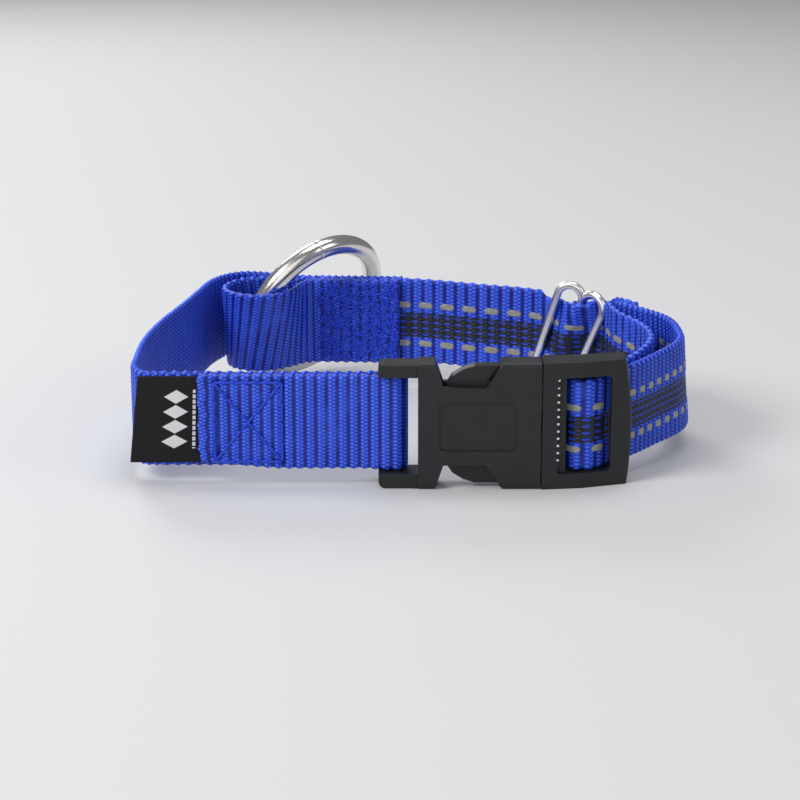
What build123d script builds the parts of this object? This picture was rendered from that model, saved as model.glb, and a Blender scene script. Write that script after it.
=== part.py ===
"""Adjustable web collar: webbing, sewn keeper with a leash ring, wire slide and side-release buckle.

Millimetres, +Z up, the collar standing on its edge as a closed loop. The origin is the middle of the floor
under it. The buckle is on the -Y side, the leash ring on the +Y side, and the slide on the +X side.
Plan positions are written on PLAN as (across, back): across grows to +X, and back grows to +Y from the outer
face of the front strap.
"""

from build123d import *
import os
from math import cos, radians, sin, tan

os.makedirs("parts", exist_ok=True)

# ---- driving dimensions ----
web_width = 19.2
web_thick = 1.6
web_pitch = 1.7  # one layer to the next where layers are sewn together
web_bottom = 3.4  # at the buckle, whose lower edge stands on the floor
wrap_bottom = 3.6  # round the male bar
middle_bottom = 4.7  # halfway back
rear_bottom = 6.4  # at the ring, whose wire passes under the web
web_mid = web_bottom + web_width / 2
rear_mid = rear_bottom + web_width / 2
label_thick = 0.5

ring_wire = 4.4
ring_bore = 29.4
ring_radius = (ring_bore + ring_wire) / 2

slide_wire = 1.7
slide_bar_gap = 4.9  # middle bar to each outer bar, at the narrow end
slide_flare = {1: 1.1, -1: 0.5}  # added width of the right and left loops at their upper ends
slide_set_back = 1.2  # the middle bar lies this far outside the outer bars
slide_tilt = 20.0
slide_half = 9.3  # half of a bar's straight length
squeezed_thick = 1.0  # webbing pressed between the slide's bars
squeezed_half = 8.6
squeezed_pitch = 1.5

buckle_height = 26.0
buckle_front = -3.2
buckle_back = 3.4
buckle_wall = 1.5
slot_edge = 3.1  # plastic above and below the web slot
seam_across = 27.9
half_gap = 0.3

# ---- plan frame and heights ----
PLAN = Plane(origin=(-2.6, -42.2, 0))
DEPTH = Plane(origin=PLAN.origin, x_dir=(1, 0, 0), z_dir=(0, -1, 0))  # sketches as (across, height)
front_fold_back = web_thick / 2
front_web_back = 3.0
female_bar = (-1.2, 1.9)
bar_radius = 1.2
male_bar = (35.9, 1.75)


def web(points, tangents=(), low=web_bottom, height=web_width, thick=web_thick):
    """Webbing on its edge, following a smooth line through points in plan."""
    with BuildSketch(PLAN.offset(low)) as strip:
        with BuildLine():
            Spline(*points, tangents=tangents)
        trace(line_width=thick)
    extrude(strip.sketch, amount=height)


def straight_web(start, end, low=web_bottom, height=web_width, thick=web_thick):
    """Webbing on its edge, straight from start to end in plan."""
    with BuildSketch(PLAN.offset(low)) as strip:
        with BuildLine():
            Line(start, end)
        trace(line_width=thick)
    extrude(strip.sketch, amount=height)


# ---- the slide's own frame: x along the band, y outward, turned about the middle of the middle bar ----
slide_turn = radians(30.0)
slide_middle = (36.8, 55.9)
slide_height = rear_mid - 0.7
bar_lean = tan(radians(slide_tilt))


def by_slide(along, out):
    """Plan position of a point given along the band and outward from the slide's outer bars."""
    across = slide_middle[0] + along * cos(slide_turn) + out * sin(slide_turn)
    back = slide_middle[1] - along * sin(slide_turn) + out * cos(slide_turn)
    return across, back


def in_space(point, height):
    """A plan position and a height as a point of the model."""
    return PLAN.from_local_coords(Vector(point[0], point[1], height))


band_dir = Vector(cos(slide_turn), -sin(slide_turn), 0)
out_dir = Vector(sin(slide_turn), cos(slide_turn), 0)
bar_dir = band_dir * sin(radians(slide_tilt)) + Vector(0, 0, cos(radians(slide_tilt)))
slide_origin = in_space(by_slide(0, slide_set_back), slide_height)
level = (cos(slide_turn), -sin(slide_turn))  # the band's direction, as a tangent in plan
back_level = (-level[0], -level[1])
run_end = 7.5  # the squeezed stretch reaches this far each side of the middle bar


def cut_at_slide(along, keep):
    """Trims webbing with a plane that leans like the slide's bars."""
    across_bars = out_dir.cross(bar_dir)
    split(bisect_by=Plane(origin=in_space(by_slide(along, 0), slide_height), z_dir=across_bars), keep=keep)


squeezed_rise = 0.2  # the squeezed webbing's middle is this far above the slide's
squeezed_low = slide_height + squeezed_rise - squeezed_half
low_shift = (squeezed_low - slide_height) * bar_lean  # along the band, from mid-height to the lower edge


def low_by_slide(along, out):
    """As by_slide, at the lower edge of the squeezed webbing."""
    return by_slide(along + low_shift, out)


def lean_up(strip):
    """Webbing pressed between the slide's bars: its waves lean with the bars."""
    extrude(strip, amount=2 * squeezed_half, dir=tuple(bar_dir * (1 / bar_dir.Z)))


# ---- control section: one plain web, folded over the female bar ----
fold_end = -40.0
turn_start = -50.0
wrap_radius = bar_radius + 0.1 + web_thick / 2
fold_straight = -8.0

with BuildPart() as front_fold:
    with BuildSketch(PLAN.offset(web_bottom)):
        with BuildLine():
            wrap_front = (female_bar[0], female_bar[1] - wrap_radius)
            wrap_rear = (female_bar[0], female_bar[1] + wrap_radius)
            wrap_side = (female_bar[0] + wrap_radius, female_bar[1])
            Line((fold_end, front_fold_back), (fold_straight, front_fold_back))
            Spline((fold_straight, front_fold_back), wrap_front, tangents=[(1, 0), (1, 0)])
            ThreePointArc(wrap_front, wrap_side, wrap_rear)
            Spline(wrap_rear, (fold_straight, front_web_back), tangents=[(-1, 0), (-1, 0)])
        trace(line_width=web_thick)
    extrude(amount=web_width)
front_fold.part.label = "front_fold"

with BuildPart() as front_web:
    straight_web((fold_straight, front_web_back), (turn_start, front_web_back))
front_web.part.label = "front_web"

left_route = [
    (turn_start, front_web_back),
    (-52.8, 5.4),
    (-53.7, 12.0),
    (-53.6, 20.0),
    (-51.9, 34.2),
    (-47.4, 51.2),
    (-43.9, 65.5),
    (-41.0, 73.6),
    (-36.0, 77.8),
]
with BuildPart() as left_web:
    web(left_route, low=middle_bottom)
    add(front_web.part, mode=Mode.SUBTRACT)
left_web.part.label = "left_web"

# ---- leash ring ----
ring_middle = (-20.0, 72.6)
ring_height = 19.0
ring_plane = Plane(origin=in_space(ring_middle, ring_height), z_dir=(0.612, -0.656, -0.441))
with BuildPart(ring_plane) as o_ring:
    Torus(ring_radius, ring_wire / 2)
o_ring.part.label = "o_ring"

# the webbing's lower edges give way where the wire passes under them
with BuildPart(ring_plane) as ring_room:
    Torus(ring_radius, ring_wire / 2 + 0.3)

# ---- sewn patch: three straight layers ----
patch_left = -19.0
patch_right = 0.0
patch_slope = -0.05


def patch_back(across, layer):
    """How far back the middle of a patch layer is, with layer 0 outermost."""
    return 73.6 + patch_slope * (across - patch_left) - layer * web_pitch


with BuildPart() as patch_back_web:
    with BuildSketch(PLAN.offset(rear_bottom)):
        with BuildLine():
            patch_start = (patch_left, patch_back(patch_left, 0))
            Spline(left_route[-1], (-30.0, 76.6), patch_start)
            Line(patch_start, (patch_right + 0.6, patch_back(patch_right + 0.6, 0)))
        trace(line_width=web_thick)
    extrude(amount=web_width)
    add(left_web.part, mode=Mode.SUBTRACT)
    add(ring_room.part, mode=Mode.SUBTRACT)
patch_back_web.part.label = "patch_back_web"

return_end = -10.2
with BuildPart() as keeper_return:
    straight_web(
        (patch_left, patch_back(patch_left, 1)), (return_end, patch_back(return_end, 1)), rear_bottom
    )
keeper_return.part.label = "keeper_return"

with BuildPart() as keeper_front:
    straight_web(
        (patch_left, patch_back(patch_left, 2)), (patch_right, patch_back(patch_right, 2)), rear_bottom
    )
keeper_front.part.label = "keeper_front"

# the keeper's open eye leans, because the ring in it leans
eye_low = [
    (patch_left, patch_back(patch_left, 2)),
    (-25.6, 65.6),
    (-33.6, 62.4),
    (-38.6, 67.0),
    (-36.0, 74.6),
    (-27.5, 74.0),
    (patch_left, patch_back(patch_left, 1)),
]
eye_high = [
    (patch_left, patch_back(patch_left, 2)),
    (-24.4, 59.8),
    (-31.2, 54.8),
    (-38.8, 60.4),
    (-36.4, 70.2),
    (-28.2, 73.0),
    (patch_left, patch_back(patch_left, 1)),
]
with BuildPart() as ring_eye:
    for route, level in ((eye_low, rear_bottom), (eye_high, rear_bottom + web_width)):
        with BuildSketch(PLAN.offset(level)):
            with BuildLine():
                Spline(*route, tangents=[(-1, 0.05), (1, -0.05)])
            trace(line_width=web_thick)
    loft(ruled=True)
    add(ring_room.part, mode=Mode.SUBTRACT)
ring_eye.part.label = "ring_eye"

# ---- neck section: one reflective web, through the slide, round the male bar and back to the slide ----
band_end = (return_end + 0.6, patch_back(return_end + 0.6, 1))
with BuildPart() as neck_band:
    with BuildSketch(PLAN.offset(rear_bottom)):
        with BuildLine():
            band_joint = (patch_right, patch_back(patch_right, 1))
            Line(band_end, band_joint)
            Spline(
                band_joint,
                (18.0, 65.4),
                by_slide(-run_end, 1.5),
                by_slide(-run_end + 4, 1.5),
                tangents=[(1, patch_slope), level],
            )
        trace(line_width=web_thick)
    extrude(amount=web_width)
    cut_at_slide(-run_end, Keep.BOTTOM)
neck_band.part.label = "neck_band"

bar_front = slide_set_back - slide_wire / 2 - 0.1 - squeezed_thick / 2
bar_rear = slide_set_back + slide_wire / 2 + 0.1 + squeezed_thick / 2
bar_side = bar_front - slide_set_back
behind_bars = 1.45  # the band's middle where it passes behind an outer bar
with BuildPart() as band_slide_run:
    with BuildSketch(PLAN.offset(squeezed_low)) as strip:
        with BuildLine():
            crest = low_by_slide(0, bar_front - squeezed_pitch)
            before = low_by_slide(-slide_bar_gap, behind_bars)
            after = low_by_slide(slide_bar_gap, behind_bars)
            Line(low_by_slide(-run_end, behind_bars), before)
            Spline(before, crest, tangents=[level, level])
            Spline(crest, after, tangents=[level, level])
            Line(after, low_by_slide(run_end, behind_bars))
        trace(line_width=squeezed_thick)
    lean_up(strip.sketch)
band_slide_run.part.label = "band_slide_run"

with BuildPart() as band_end_fold:
    with BuildSketch(PLAN.offset(squeezed_low)) as strip:
        with BuildLine():
            outer = behind_bars + squeezed_pitch
            tail = outer + squeezed_pitch
            front_of_bar = low_by_slide(0, bar_front)
            rear_of_bar = low_by_slide(0, bar_rear)
            Line(low_by_slide(run_end, outer), low_by_slide(slide_bar_gap, outer))
            Spline(low_by_slide(slide_bar_gap, outer), front_of_bar, tangents=[back_level, back_level])
            ThreePointArc(front_of_bar, low_by_slide(bar_side, slide_set_back), rear_of_bar)
            Spline(rear_of_bar, low_by_slide(slide_bar_gap, tail), tangents=[level, level])
            Line(low_by_slide(slide_bar_gap, tail), low_by_slide(run_end, tail))
        trace(line_width=squeezed_thick)
    lean_up(strip.sketch)
band_end_fold.part.label = "band_end_fold"

tail_out = 4.95
with BuildPart() as band_tail:
    web(
        [by_slide(run_end - 4, tail_out), by_slide(run_end, tail_out), (49.4, 53.8), (52.0, 50.9)],
        tangents=[level, (1, -1.2)],
        low=middle_bottom,
    )
    cut_at_slide(run_end, Keep.TOP)
band_tail.part.label = "band_tail"

loop_turn = 29.0  # the loop is furthest right here, where its two halves meet
inner_apex = (52.7, loop_turn)
outer_apex = (58.9, loop_turn)

with BuildPart() as inner_loop_back:
    inner_lead = by_slide(run_end, 1.4)
    web(
        [by_slide(run_end - 4, 1.4), inner_lead, (47.6, 48.2), (51.0, 39.6), inner_apex],
        tangents=[level, (0, -1)],
        low=middle_bottom,
    )
    cut_at_slide(run_end, Keep.TOP)
inner_loop_back.part.label = "inner_loop_back"

with BuildPart() as outer_loop_back:
    web(
        [by_slide(run_end - 4, 3.1), by_slide(run_end, 3.1), (51.6, 48.4), (57.2, 41.0), outer_apex],
        tangents=[level, (0, -1)],
        low=middle_bottom,
    )
    cut_at_slide(run_end, Keep.TOP)
outer_loop_back.part.label = "outer_loop_back"

outer_wrap_start = (46.8, 8.6)
inner_wrap_end = (45.2, 11.4)
with BuildPart() as outer_loop_front:
    web([outer_apex, (53.6, 17.2), outer_wrap_start], tangents=[(0, -1), (-1, -1)])
outer_loop_front.part.label = "outer_loop_front"

with BuildPart() as inner_loop_front:
    web([inner_apex, (50.0, 19.0), inner_wrap_end], tangents=[(0, -1), (-1, -1.1)])
inner_loop_front.part.label = "inner_loop_front"

male_wrap_route = [
    outer_wrap_start,
    (41.9, 4.2),
    (38.9, 0.9),
    (35.9, -0.4),
    (33.4, 1.6),
    (35.6, 3.9),
    (40.4, 6.9),
    inner_wrap_end,
]
with BuildPart() as male_bar_wrap:
    web(male_wrap_route, tangents=[(-1, -1), (1, 1.1)], low=wrap_bottom)
male_bar_wrap.part.label = "male_bar_wrap"

# ---- woven label, its folded edge to the left, its ends under the folded web ----
label_outline = [(-54.0, 4.2), (-34.0, 4.4), (-34.0, 20.8), (-52.0, 22.1)]
with BuildPart() as label:
    with BuildSketch(DEPTH.offset(-(front_web_back - web_thick / 2))):
        with BuildLine():
            Polyline(*label_outline, close=True)
        make_face()
    extrude(amount=label_thick)
label.part.label = "label"

# ---- sewing threads ----
thread = 0.45
thread_proud = 0.15
box_low = (-37.0, web_mid - 8.2)
box_high = (-23.5, web_mid + 8.2)


def seam(start, end):
    """One run of thread on a sketch plane, from start to end."""
    trace(Edge.make_line(start, end), line_width=thread)


with BuildPart() as box_stitch:
    with BuildSketch(DEPTH):
        corners = [box_low, (box_high[0], box_low[1]), box_high, (box_low[0], box_high[1])]
        for number, corner in enumerate(corners):
            seam(corner, corners[(number + 1) % 4])
        seam(corners[0], corners[2])
        seam(corners[1], corners[3])
    extrude(amount=thread_proud)
box_stitch.part.label = "box_stitch"

patch_angle = Vector(1, patch_slope, 0)
patch_face = Plane(
    origin=in_space((patch_left, patch_back(patch_left, 2) - web_thick / 2 - 0.001), rear_mid),
    x_dir=patch_angle,
    z_dir=patch_angle.cross(Vector(0, 0, 1)),
)
tack_rows = 6
with BuildPart() as patch_stitch:
    with BuildSketch(patch_face):
        for row in range(tack_rows):
            along = 1.2 + row * 3.4
            seam((along, -9.0), (along, 9.0))
    extrude(amount=thread_proud)
patch_stitch.part.label = "patch_stitch"

tail_face = Plane(
    origin=in_space(by_slide(run_end, tail_out + web_thick / 2), middle_bottom + web_width / 2),
    x_dir=band_dir,
    z_dir=out_dir,
)
with BuildPart() as tail_stitch:
    with BuildSketch(tail_face):
        for along in (1.4, 2.4, 3.4):
            seam((along, -8.5), (along, 8.5))
    extrude(amount=thread_proud)
tail_stitch.part.label = "tail_stitch"

# ---- wire slide: two flat wire loops that share the middle bar ----
loop_width = Vector(slide_bar_gap, slide_set_back).length
along_band = out_dir.cross(bar_dir) * -1  # square to the bars, in the plane of the band
if along_band.dot(band_dir) < 0:
    along_band = along_band * -1


def loop_plane(side):
    """The plane of one wire loop: x from the middle bar towards an outer bar, y up the bars."""
    across = (along_band * (side * slide_bar_gap) - out_dir * slide_set_back).normalized()
    return Plane(origin=slide_origin, x_dir=across, z_dir=across.cross(bar_dir))


with BuildPart() as slide:
    with BuildSketch(Plane(origin=slide_origin - bar_dir * slide_half, z_dir=bar_dir)):
        Circle(slide_wire / 2)
    extrude(amount=2 * slide_half)
    for side in (1, -1):
        with BuildLine(loop_plane(side)) as loop_path:
            wide = loop_width + slide_flare[side]
            ThreePointArc((0, slide_half), (wide / 2, slide_half + wide / 2), (wide, slide_half))
            Line((wide, slide_half), (loop_width, -slide_half))
            ThreePointArc(
                (loop_width, -slide_half), (loop_width / 2, -slide_half - loop_width / 2), (0, -slide_half)
            )
        with BuildSketch(Plane(origin=slide_origin + bar_dir * slide_half, z_dir=bar_dir)):
            Circle(slide_wire / 2)
        sweep(path=loop_path.wires()[0])
slide.part.label = "slide"

# ---- side-release buckle, sketched as (across, height) and (across, back) ----
buckle_mid = buckle_height / 2
slot_height = buckle_height - 2 * slot_edge
bar_root = 0.5  # bars run this far into the plastic above and below a slot
through_back = 12.0  # further back than any part of the buckle
corner_round = 0.9
horn_left = -4.3
body_left = 3.6
horn_step = 0.7  # the strap end's face lies this far behind the body's
horn_short = 0.6  # and it is this much lower at the top
window = [(6.9, 0.0), (8.6, 5.0), (17.0, 5.1), (20.4, 0.0)]  # height below the top edge
panel_size = (15.5, 10.0)
panel_middle = 15.4
panel_deep = 0.4


def slab(outline, front=buckle_front, back=buckle_back):
    """A face drawn as (across, height), given a thickness from front to back."""
    with BuildSketch(DEPTH.offset(-front)) as face:
        with BuildLine():
            Polyline(*outline, close=True)
        make_face()
    return extrude(face.sketch, amount=-(back - front), mode=Mode.PRIVATE)


def mirrored(outline):
    """The same outline, upside down about the buckle's middle height."""
    return [(across, buckle_height - height) for across, height in reversed(outline)]


def box_outline(left, right, low, high):
    """Corners of an upright rectangle."""
    return [(left, low), (right, low), (right, high), (left, high)]


outer_body = box_outline(horn_left, seam_across, 0, buckle_height)
strap_slot = box_outline(horn_left - 1, body_left, slot_edge, buckle_height - slot_edge)
strap_face = box_outline(horn_left - 1, body_left, -1, buckle_height + 1)
strap_top = box_outline(horn_left - 1, body_left, buckle_height - horn_short, buckle_height + 1)
cavity = box_outline(6.4, seam_across + 1, slot_edge, buckle_height - slot_edge)
top_window = [(across, buckle_height - below) for across, below in window]
top_window += [(window[-1][0], buckle_height + 1), (window[0][0], buckle_height + 1)]

with BuildPart() as buckle_female:
    add(slab(outer_body))
    fillet(buckle_female.edges().filter_by(Axis.Y).group_by(Axis.X)[0], 1.5)
    fillet(buckle_female.edges().filter_by(Axis.X).group_by(Axis.Y)[0], 0.8)
    fillet(buckle_female.edges().filter_by(Axis.X).group_by(Axis.Y)[-1], 1.4)
    add(slab(strap_face, buckle_front - 1, buckle_front + horn_step), mode=Mode.SUBTRACT)
    add(slab(strap_top, buckle_front - 1, buckle_back + 1), mode=Mode.SUBTRACT)
    add(slab(strap_slot, buckle_front - 1, buckle_back + 1), mode=Mode.SUBTRACT)
    add(slab(cavity, buckle_front + buckle_wall, buckle_back - buckle_wall), mode=Mode.SUBTRACT)
    for outline in (top_window, mirrored(top_window)):
        add(slab(outline, buckle_front - 1, buckle_back + 1), mode=Mode.SUBTRACT)
    with BuildSketch(DEPTH.offset(-buckle_front)):
        with Locations((panel_middle, buckle_mid)):
            RectangleRounded(*panel_size, 1.2)
    extrude(amount=-panel_deep, mode=Mode.SUBTRACT)
    with BuildSketch(PLAN.offset(slot_edge - bar_root)):
        with Locations(female_bar):
            Circle(bar_radius)
    extrude(amount=slot_height + 2 * bar_root)
buckle_female.part.label = "buckle_female"

# the male half's frame falls back to the right, and its right edge bulges
male_left = seam_across + half_gap
male_right = 46.2
male_top_right = 44.8
male_low_right = 45.5
male_window = (31.1, 42.0)
male_bar_size = (2.3, 2.0)
tooth_front = buckle_front + 1.4
tooth_deep = 1.2
tooth_high = 0.7
tooth_pitch = 1.5
tooth_count = 12
tooth_right = 31.75
lip_right = 32.9  # the teeth join a narrow bar beside the web
male_plan = [
    (male_left, buckle_front),
    (36.0, buckle_front + 0.9),
    (male_right, buckle_front + 4.0),
    (male_right, buckle_back + 3.0),
    (36.0, buckle_back + 0.6),
    (male_left, buckle_back),
]
web_room = [(39.5, 2.2), (male_right + 1, 4.2), (male_right + 1, 12.0), (39.5, 12.0)]
rail_tip = 11.0
rail_thick = 1.8
rail_half = 2.2
prong_root = 26.6
prong_root_height = 20.1  # of the upper prong
prong_half_thick = 1.4
prong_middle = 0.1  # how far back the middle of the prongs and rail is
root_radius = 1.1

with BuildPart() as buckle_male:
    with BuildSketch(PLAN):
        with BuildLine():
            Polyline(*male_plan, close=True)
        make_face()
    extrude(amount=buckle_height)
    top_right = (male_top_right, buckle_height)
    low_right = (male_low_right, 0)
    with BuildSketch(DEPTH.offset(-through_back)):
        with BuildLine():
            Polyline(top_right, (male_left, buckle_height), (male_left, 0), low_right)
            ThreePointArc(low_right, (male_right, buckle_mid), top_right)
        make_face()
    extrude(amount=2 * through_back, mode=Mode.INTERSECT)
    fillet(buckle_male.faces().sort_by(Axis.X)[-1].edges().filter_by(Axis.Y, reverse=True), corner_round)
    with BuildSketch(DEPTH.offset(-through_back)):
        with Locations(((male_window[0] + male_window[1]) / 2, buckle_mid)):
            RectangleRounded(male_window[1] - male_window[0], slot_height, corner_round)
    extrude(amount=2 * through_back, mode=Mode.SUBTRACT)
    # room behind the right-hand member for the web
    with BuildSketch(PLAN.offset(slot_edge)):
        with BuildLine():
            Polyline(*web_room, close=True)
        make_face()
    extrude(amount=slot_height, mode=Mode.SUBTRACT)
    with BuildSketch(PLAN.offset(slot_edge - bar_root)):
        with Locations(male_bar):
            RectangleRounded(*male_bar_size, corner_round)
    extrude(amount=slot_height + 2 * bar_root)
    # grip teeth between the left wall of the window and a narrow upright bar
    with BuildSketch(DEPTH.offset(-tooth_front)):
        with GridLocations(0, tooth_pitch, 1, tooth_count):
            with Locations(((male_window[0] + tooth_right) / 2, buckle_mid)):
                Rectangle(tooth_right - male_window[0] + 0.4, tooth_high)
    extrude(amount=-tooth_deep)
    add(
        slab(
            box_outline(tooth_right, lip_right, slot_edge - bar_root, buckle_height - slot_edge + bar_root),
            tooth_front - 0.1,
            tooth_front + 1.5,
        )
    )
    # guide rail, and the block that carries it and the prongs' roots
    add(
        slab(
            box_outline(rail_tip, male_left + 0.5, buckle_mid - rail_half, buckle_mid + rail_half),
            prong_middle - rail_thick / 2,
            prong_middle + rail_thick / 2,
        )
    )
buckle_male.part.label = "buckle_male"

prong_outline = [
    (prong_root, 21.2),
    (16.8, 21.2),
    (19.7, 25.1),
    (14.8, 25.1),
    (12.4, 24.3),
    (10.4, 23.0),
    (9.2, 21.2),
    (9.2, 19.6),
    (10.2, 19.0),
    (prong_root, 19.0),
]


def prong(outline, root_height):
    """A latch arm with its head, and a round root that it flexes about."""
    front = prong_middle - prong_half_thick
    arm = slab(outline, front, front + 2 * prong_half_thick)
    with BuildSketch(DEPTH.offset(-front)) as root:
        with Locations((prong_root, root_height)):
            Circle(root_radius)
    return arm + extrude(root.sketch, amount=-2 * prong_half_thick, mode=Mode.PRIVATE)


with BuildPart() as prong_upper:
    add(prong(prong_outline, prong_root_height))
prong_upper.part.label = "prong_upper"

with BuildPart() as prong_lower:
    add(prong(mirrored(prong_outline), buckle_height - prong_root_height))
prong_lower.part.label = "prong_lower"

# ---- one STEP file for each piece ----
pieces = [
    front_fold,
    front_web,
    left_web,
    patch_back_web,
    keeper_return,
    keeper_front,
    ring_eye,
    o_ring,
    neck_band,
    band_slide_run,
    band_end_fold,
    band_tail,
    inner_loop_back,
    outer_loop_back,
    outer_loop_front,
    inner_loop_front,
    male_bar_wrap,
    label,
    box_stitch,
    patch_stitch,
    tail_stitch,
    slide,
    buckle_female,
    buckle_male,
    prong_upper,
    prong_lower,
]
for piece in pieces:
    export_step(piece.part, f"parts/{piece.part.label}.step")
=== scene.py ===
"""Looks for the web collar: woven webs, sewing threads, woven label, wire ring and slide, moulded buckle.

Lengths in this file are millimetres, as in the part's source, and become metres where a mesh is made. Plan
positions are (across, back): across grows to +X, and back grows to +Y from the outer face of the front strap.
"""

from math import cos, pi, radians, sin, tan

import bpy
import numpy as np
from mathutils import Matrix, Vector


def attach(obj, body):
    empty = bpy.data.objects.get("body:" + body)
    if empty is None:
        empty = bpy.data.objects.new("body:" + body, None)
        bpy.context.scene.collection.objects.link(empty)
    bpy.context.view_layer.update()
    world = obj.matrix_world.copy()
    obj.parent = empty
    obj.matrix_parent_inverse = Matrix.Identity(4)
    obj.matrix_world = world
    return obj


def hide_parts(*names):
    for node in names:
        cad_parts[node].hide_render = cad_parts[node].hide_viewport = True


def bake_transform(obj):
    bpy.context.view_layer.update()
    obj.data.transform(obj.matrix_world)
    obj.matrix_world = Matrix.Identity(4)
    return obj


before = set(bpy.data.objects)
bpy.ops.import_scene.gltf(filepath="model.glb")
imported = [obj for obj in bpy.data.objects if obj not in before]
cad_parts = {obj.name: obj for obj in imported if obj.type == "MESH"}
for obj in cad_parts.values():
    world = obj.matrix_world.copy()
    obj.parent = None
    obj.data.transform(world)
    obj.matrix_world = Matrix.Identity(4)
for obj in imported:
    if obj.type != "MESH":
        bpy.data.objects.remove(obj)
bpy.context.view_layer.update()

MM = 0.001
PLAN_ORIGIN = np.array((-2.6, -42.2, 0.0))


def metres(points):
    """Plan positions with heights, in millimetres, as points of the model."""
    return (np.asarray(points, float) + PLAN_ORIGIN) * MM


# ---- camera ----
camera = bpy.data.objects.new("camera", bpy.data.cameras.new("camera"))
bpy.context.collection.objects.link(camera)
camera.location = (-2.6 * MM, -470.0 * MM, 143.6 * MM)
camera.rotation_euler = (radians(90 - 16.4), 0, 0)
camera.data.lens = 101.1
camera.data.clip_start = 0.01
bpy.context.scene.camera = camera

# ---- sizes shared with the part's source ----
web_width = 19.2
web_thick = 1.6
web_pitch = 1.7
web_bottom = 3.4
rear_bottom = 6.4
web_mid = web_bottom + web_width / 2
rear_mid = rear_bottom + web_width / 2
ring_radius = 16.9
ring_wire = 2.2  # wire radius
ring_middle = np.array((-20.0, 72.6, 19.0))
ring_axis = np.array((0.612, -0.656, -0.441))
female_bar = (-1.2, 1.9)
wrap_radius = 2.1
patch_left = -19.0
patch_right = 0.0
patch_slope = -0.05
slide_turn = radians(30.0)
slide_middle = np.array((36.8, 55.9))
slide_height = rear_mid - 0.7
slide_lean = radians(20.0)  # the slide's bars lean this far from upright
bar_lean = tan(slide_lean)
bar_gap = 4.9
slide_set_back = 1.2
band_dir = np.array((cos(slide_turn), -sin(slide_turn)))
out_dir = np.array((sin(slide_turn), cos(slide_turn)))


def patch_back(across, layer):
    """How far back the middle of a patch layer is, with layer 0 outermost."""
    return 73.6 + patch_slope * (across - patch_left) - layer * web_pitch


def by_slide(along, out):
    """Plan position of a point given along the band and outward from the slide's outer bars."""
    return tuple(slide_middle + along * band_dir + out * out_dir)


# ---- smooth lines ----
line_step = 0.1  # distance between a line's close points


def straight(start, end):
    """Close points along a straight line."""
    count = max(2, int(np.linalg.norm(np.subtract(end, start)) / line_step))
    return np.linspace(start, end, count)


def arc(middle, radius, start, end):
    """Close points along an arc; angles are in degrees, from +across towards +back."""
    angle = np.radians(np.linspace(start, end, 60))
    return np.array(middle) + radius * np.stack([np.cos(angle), np.sin(angle)], axis=1)


def unit(vector):
    """A vector of length 1, for one vector or for an array of them."""
    vector = np.asarray(vector, float)
    return vector / np.linalg.norm(vector, axis=-1, keepdims=True)


def smooth(points, start=None, end=None):
    """Close points along a smooth curve through the given ones; start and end are optional directions."""
    points = np.array(points, float)
    gap = np.linalg.norm(np.diff(points, axis=0), axis=1)
    last = len(points) - 1
    matrix = np.zeros((last + 1, last + 1))
    right = np.zeros(points.shape)
    for i in range(1, last):
        matrix[i, i - 1 : i + 2] = 1 / gap[i - 1], 2 / gap[i - 1] + 2 / gap[i], 1 / gap[i]
        before = (points[i] - points[i - 1]) / gap[i - 1] ** 2
        after = (points[i + 1] - points[i]) / gap[i] ** 2
        right[i] = 3 * (before + after)
    for row, near, span, heading in ((0, 1, 0, start), (last, last - 1, last - 1, end)):
        matrix[row, row] = 1
        if heading is not None:
            right[row] = unit(heading)
            continue
        matrix[row, near] = 0.5
        right[row] = 1.5 * (points[span + 1] - points[span]) / gap[span]
    slope = np.linalg.solve(matrix, right)
    stretches = []
    for i in range(last):
        t = np.linspace(0, 1, max(3, int(gap[i] / line_step)))[:, None]
        stretches.append(
            points[i] * (2 * t**3 - 3 * t**2 + 1)
            + slope[i] * gap[i] * (t**3 - 2 * t**2 + t)
            + points[i + 1] * (3 * t**2 - 2 * t**3)
            + slope[i + 1] * gap[i] * (t**3 - t**2)
        )
    return join(stretches)


def join(stretches):
    """One line from several that follow each other."""
    return np.concatenate([stretches[0]] + [stretch[1:] for stretch in stretches[1:]])


def lengths(line):
    """Distance along a line to each of its points."""
    return np.concatenate([[0], np.cumsum(np.linalg.norm(np.diff(line, axis=0), axis=1))])


def along_line(line, distances):
    """Points at the given distances along a line."""
    known = lengths(line)
    return np.stack([np.interp(distances, known, line[:, k]) for k in range(line.shape[1])], axis=1)


def ease(value, low, high):
    """0 below low, 1 above high and smooth between them."""
    t = np.clip((value - low) / (high - low), 0, 1)
    return t * t * (3 - 2 * t)


# ---- woven surface ----
station_step = 0.24
column_step = 0.29
edge_round = 0.7
edge_bulge = 0.32
bulge_reach = 1.6
core_thick = 0.98  # the ribs stand on this
rib_height = 0.36
close_share = 0.6  # height of the closer weave's ribs, as a share of the others'
float_height = 0.27  # a reflective yarn's float stands out this far
plain_rib = 2.16
plain_bead = 0.75
close_rib = 1.5
close_bead = 0.95
banded_rib = 2.62
banded_bead = 0.82
dash_lines = (4.35, 13.35)  # height of the reflective yarns on the web
dash_pitch = 2 * banded_rib
dash_half = (1.65, 0.72)
dark_band = (5.8, 11.5)
band_soft = 0.3
ring_spare = 0.12  # the webs keep this far from the ring's wire
rise_start = 5.0  # how far back the webs' lower edge starts to rise, and over what run
rise_run = 61.0


def weave(along, up, pitch, bead):
    """The woven face: 0 in the valleys between ribs, 1 on top of a bead."""
    half_rib = np.floor(2 * along / pitch + 0.5) % 2
    rib = np.clip(0.5 + 0.5 * np.cos(2 * pi * (along - pitch / 4) / pitch), 0, 1) ** 0.5
    return rib * (0.82 + 0.18 * np.cos(2 * pi * (up / bead + half_rib / 2)))


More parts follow.
